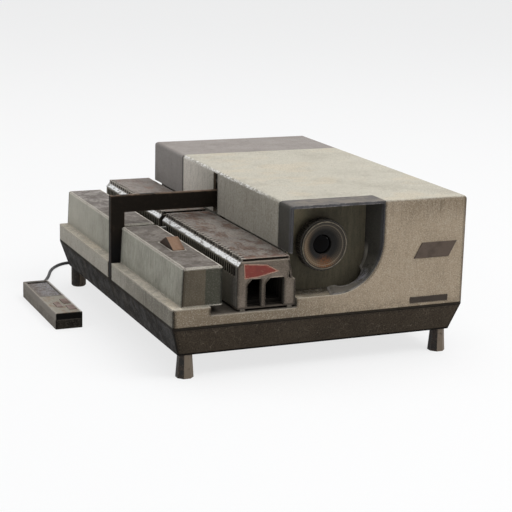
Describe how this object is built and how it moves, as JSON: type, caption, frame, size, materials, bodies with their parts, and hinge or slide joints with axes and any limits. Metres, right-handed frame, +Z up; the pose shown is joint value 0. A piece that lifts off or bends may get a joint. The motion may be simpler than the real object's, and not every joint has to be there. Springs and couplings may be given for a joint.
{
  "type": "slide projector",
  "caption": "Slide projector with a straight tray in a side channel, a changer arm over it, a hinged lamp cover, a lens with a focusing ring and a wired remote.",
  "frame": {"origin": "on the floor under the middle of the whole set, handset and trays included and the cord left out", "axes": "+X to the projector's right, +Y to its rear, +Z up; the lens looks along -Y"},
  "size_m": [0.3895, 0.5046, 0.173],
  "materials": {
    "dark_paint": "satin, scuffed",
    "pale_paint": "satin, stained",
    "cover_paint": "satin",
    "taupe_paint": "satin, worn edges",
    "arm_paint": "satin, chipped",
    "dark_plastic": "matte",
    "black_plastic": "matte",
    "black_metal": "satin, worn edges",
    "clear_glass": "polished",
    "mirror_metal": "polished",
    "plate_metal": "brushed, bare",
    "key_plastic": "worn",
    "steel": "plain",
    "tray_metal": "satin, worn",
    "tray_top": "scratched, rusty",
    "bright_metal": "mottled",
    "label_paper": "faded",
    "inner_plastic": "plain",
    "inner_metal": "plain",
    "ceramic": "glazed ceramic",
    "core_iron": "laminated",
    "coil_tape": "taped",
    "board": "laminate",
    "soft_rubber": "matte",
    "cord_rubber": "satin",
    "foot_rubber": "matte",
    "remote_plastic": "stained",
    "remote_dark": "speckled",
    "key_mauve": "worn"
  },
  "bodies": {
    "projector": {"base_pan": "dark_paint", "main_housing": "pale_paint", "lens_bezel": "dark_plastic", "lens_panel": "dark_plastic", "lens_mount": "inner_metal", "name_plate": "plate_metal", "info_plate": "plate_metal", "front_block": "taupe_paint", "rear_block": "taupe_paint", "key_pin": "steel", "tray_channel": "dark_plastic", "feed_motor": "steel", "guide_rod": "steel", "rod_bracket": "inner_metal", "chassis_plate": "inner_metal", "slide_gate": "inner_metal", "condenser_holder": "inner_metal", "condenser_lenses": "clear_glass", "lamp_house": "inner_metal", "lamp_socket": "ceramic", "lamp": "clear_glass", "lamp_reflector": "mirror_metal", "fan_housing": "black_plastic", "fan_motor": "steel", "transformer_core": "core_iron", "transformer_coil": "coil_tape", "circuit_board": "board", "hinge_pins": "steel", "mains_inlet": "black_plastic", "cord_gland": "soft_rubber", "remote_cord": "cord_rubber", "remote_shell": "remote_plastic", "remote_cover": "remote_plastic", "remote_panel": "remote_dark", "remote_sleeve": "soft_rubber", "foot_bushings": "steel", "rear_feet": "foot_rubber", "base_screws": "steel"},
    "trays": {"front_tray": "tray_metal", "rear_tray": "tray_metal", "front_tray_lid": "tray_top", "rear_tray_lid": "tray_top", "tray_strips": "bright_metal", "tray_coupling": "tray_metal", "tray_label": "label_paper"},
    "feed_gear": {"feed_gear": "inner_plastic"},
    "changer_arm": {"changer_arm": "arm_paint", "pusher_blade": "steel", "arm_carriage": "black_plastic"},
    "lens_barrel": {"lens_barrel": "black_metal", "lens_glasses": "clear_glass"},
    "focus_ring": {"focus_ring": "black_plastic"},
    "control_key": {"control_key": "key_plastic"},
    "fan_wheel": {"fan_wheel": "inner_plastic"},
    "rear_cover": {"rear_cover": "cover_paint"},
    "left_foot": {"left_foot": "foot_rubber"},
    "right_foot": {"right_foot": "foot_rubber"},
    "forward_key": {"remote_forward_key": "key_mauve"},
    "reverse_key": {"remote_reverse_key": "key_mauve"},
    "focus_key": {"remote_focus_key": "key_mauve"}
  },
  "joints": [
    {"name": "tray_travel", "type": "slide", "parent": "projector", "child": "trays", "axis": [0, -1, 0], "range_m": [-0.198, 0.198]},
    {"name": "gear_turn", "type": "hinge", "parent": "projector", "child": "feed_gear", "pos_m": [0.0149, -0.071, 0.081], "axis": [0, 0, 1], "range_deg": [-600, 600]},
    {"name": "arm_stroke", "type": "slide", "parent": "projector", "child": "changer_arm", "axis": [1, 0, 0], "range_m": [0, 0.048]},
    {"name": "focus_turn", "type": "hinge", "parent": "lens_barrel", "child": "focus_ring", "pos_m": [0.0335, -0.201, 0.1275], "axis": [0, -1, 0], "range_deg": [-150, 150]},
    {"name": "lens_travel", "type": "slide", "parent": "projector", "child": "lens_barrel", "axis": [0, -1, 0], "range_m": [-0.004, 0.004]},
    {"name": "key_rock", "type": "hinge", "parent": "projector", "child": "control_key", "pos_m": [-0.1005, -0.1185, 0.11], "axis": [1, 0, 0], "range_deg": [-8, 8], "stiffness_Nm_per_rad": 0.08},
    {"name": "fan_spin", "type": "hinge", "parent": "projector", "child": "fan_wheel", "pos_m": [0.1086, 0.141, 0.0995], "axis": [1, 0, 0], "continuous": true},
    {"name": "cover_hinge", "type": "hinge", "parent": "projector", "child": "rear_cover", "pos_m": [0.0925, 0.1922, 0.082], "axis": [-1, 0, 0], "range_deg": [0, 95]},
    {"name": "left_foot_screw", "type": "slide", "parent": "projector", "child": "left_foot", "axis": [0, 0, -1], "range_m": [0, 0.012]},
    {"name": "right_foot_screw", "type": "slide", "parent": "projector", "child": "right_foot", "axis": [0, 0, -1], "range_m": [0, 0.012]},
    {"name": "forward_press", "type": "slide", "parent": "projector", "child": "forward_key", "axis": [0, 0, -1], "range_m": [0, 0.0009], "stiffness_N_per_m": 250},
    {"name": "reverse_press", "type": "slide", "parent": "projector", "child": "reverse_key", "axis": [0, 0, -1], "range_m": [0, 0.0009], "stiffness_N_per_m": 250},
    {"name": "focus_press", "type": "slide", "parent": "projector", "child": "focus_key", "axis": [0, 0, -1], "range_m": [0, 0.0009], "stiffness_N_per_m": 250}
  ],
  "couplings": [
    {"joint": "gear_turn", "follows": "tray_travel", "rad_per_m": 52.36},
    {"joint": "focus_turn", "follows": "lens_travel", "rad_per_m": 654}
  ]
}
